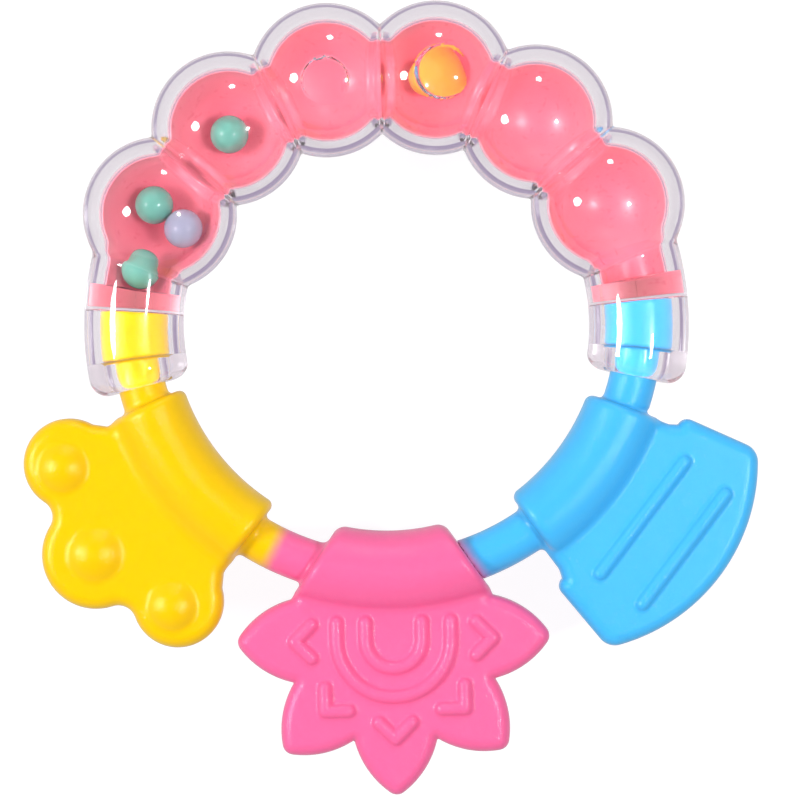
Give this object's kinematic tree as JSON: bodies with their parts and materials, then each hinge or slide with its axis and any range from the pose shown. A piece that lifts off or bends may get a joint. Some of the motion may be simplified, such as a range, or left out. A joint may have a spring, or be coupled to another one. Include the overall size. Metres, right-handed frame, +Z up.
{
  "type": "teething ring",
  "caption": "Teething ring: a clear bubble arch with a salmon liner and loose rattle balls, closed by a three-colour silicone bow with paw, flower and fan teethers.",
  "frame": {"origin": "on the surface the toy lies on, under the middle of its bounding box", "axes": "+Z up out of the toy's front face, square to the ring; +Y from the silicone bow to the top of the clear arch; +X to the side of the blue fan"},
  "size_m": [0.116, 0.1254, 0.0244],
  "materials": {
    "clear_plastic": "clear moulded plastic, high gloss, faint lilac tint",
    "pink_liner": "salmon pink moulded plastic, satin",
    "mint_bead": "gloss",
    "lilac_bead": "gloss",
    "amber_bead": "gloss",
    "yellow_silicone": "satin silicone rubber",
    "pink_silicone": "satin silicone rubber",
    "blue_silicone": "satin silicone rubber"
  },
  "bodies": {
    "arch": {"clear_shell_front": "clear_plastic", "clear_shell_back": "clear_plastic", "pink_liner": "pink_liner", "yellow_plug": "yellow_silicone", "blue_plug": "blue_silicone"},
    "bow": {"yellow_paw_teether": "yellow_silicone", "pink_flower_teether": "pink_silicone", "blue_fan_teether": "blue_silicone"},
    "ball_outer": {"mint_ball_outer": "mint_bead"},
    "ball_inner": {"lilac_ball_inner": "lilac_bead"},
    "ball_middle": {"mint_ball_middle": "mint_bead"},
    "ball_neck": {"mint_ball_neck": "mint_bead"},
    "ball_amber": {"amber_ball": "amber_bead"}
  },
  "joints": [
    {"name": "bow_flex", "type": "hinge", "parent": "arch", "child": "bow", "pos_m": [0, 0.00204, 0.0122], "axis": [1, 0, 0], "range_deg": [-15, 15], "stiffness_Nm_per_rad": 0.25},
    {"name": "roll_outer", "type": "hinge", "parent": "arch", "child": "ball_outer", "pos_m": [-0.03548, 0.02999, 0.0122], "axis": [-0.887, 0.4617, 0], "range_deg": [-45, 45]},
    {"name": "roll_inner", "type": "hinge", "parent": "arch", "child": "ball_inner", "pos_m": [-0.03548, 0.02999, 0.0122], "axis": [-0.887, 0.4617, 0], "range_deg": [-45, 45]},
    {"name": "roll_middle", "type": "hinge", "parent": "arch", "child": "ball_middle", "pos_m": [-0.02435, 0.04326, 0.0122], "axis": [-0.6088, 0.7934, 0], "range_deg": [-50, 50]},
    {"name": "roll_amber", "type": "hinge", "parent": "arch", "child": "ball_amber", "pos_m": [0.00866, 0.05058, 0.0122], "axis": [0.2164, 0.9763, 0], "range_deg": [-70, 30]},
    {"name": "roll_neck", "type": "hinge", "parent": "arch", "child": "ball_neck", "pos_m": [0, 0.01152, 0.0122], "axis": [0, 0, 1], "range_deg": [-5, 0]}
  ],
  "couplings": [
    {"joint": "roll_inner", "follows": "roll_outer", "ratio": 1}
  ]
}
